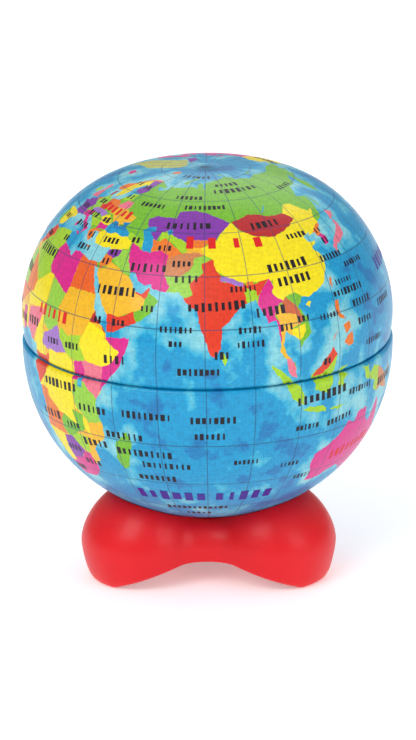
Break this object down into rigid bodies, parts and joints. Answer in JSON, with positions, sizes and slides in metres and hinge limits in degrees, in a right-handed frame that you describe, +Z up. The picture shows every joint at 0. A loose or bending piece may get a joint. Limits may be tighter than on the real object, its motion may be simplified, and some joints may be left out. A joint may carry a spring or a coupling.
{
  "type": "globe pencil sharpener",
  "caption": "Small tinplate world globe in two printed shells on a three-lobed moulded foot, with a pencil sharpener inside and a lift-off lid.",
  "frame": {"origin": "on the table under the globe's axis", "axes": "+Z up along the globe's axis, -Y the front, between the two front lobes of the foot, +X to the right seen from the front"},
  "size_m": [0.06, 0.06, 0.0672],
  "materials": {
    "printed_tin": "lithographed tinplate under gloss varnish",
    "red_moulding": "glossy moulded ABS",
    "white_moulding": "satin moulded plastic",
    "sharpener_alloy": "die-cast magnesium alloy",
    "blade_steel": "ground carbon steel",
    "screw_steel": "zinc plated"
  },
  "bodies": {
    "foot": {"foot_shell": "red_moulding", "base_plate": "red_moulding", "sharpener_holder": "white_moulding", "sharpener_body": "sharpener_alloy", "sharpener_blade": "blade_steel", "blade_screw": "screw_steel", "holder_screw_back": "screw_steel", "plate_screw_back": "screw_steel", "holder_screw_front_left": "screw_steel", "plate_screw_front_left": "screw_steel", "holder_screw_front_right": "screw_steel", "plate_screw_front_right": "screw_steel"},
    "globe": {"lower_shell": "printed_tin"},
    "lid": {"upper_shell": "printed_tin"}
  },
  "joints": [
    {"name": "globe_turn", "type": "hinge", "parent": "foot", "child": "globe", "pos_m": [0, 0, 0.0393], "axis": [0, 0, 1], "continuous": true},
    {"name": "lid_lift", "type": "slide", "parent": "globe", "child": "lid", "axis": [0, 0, 1], "range_m": [0, 0.04]}
  ]
}
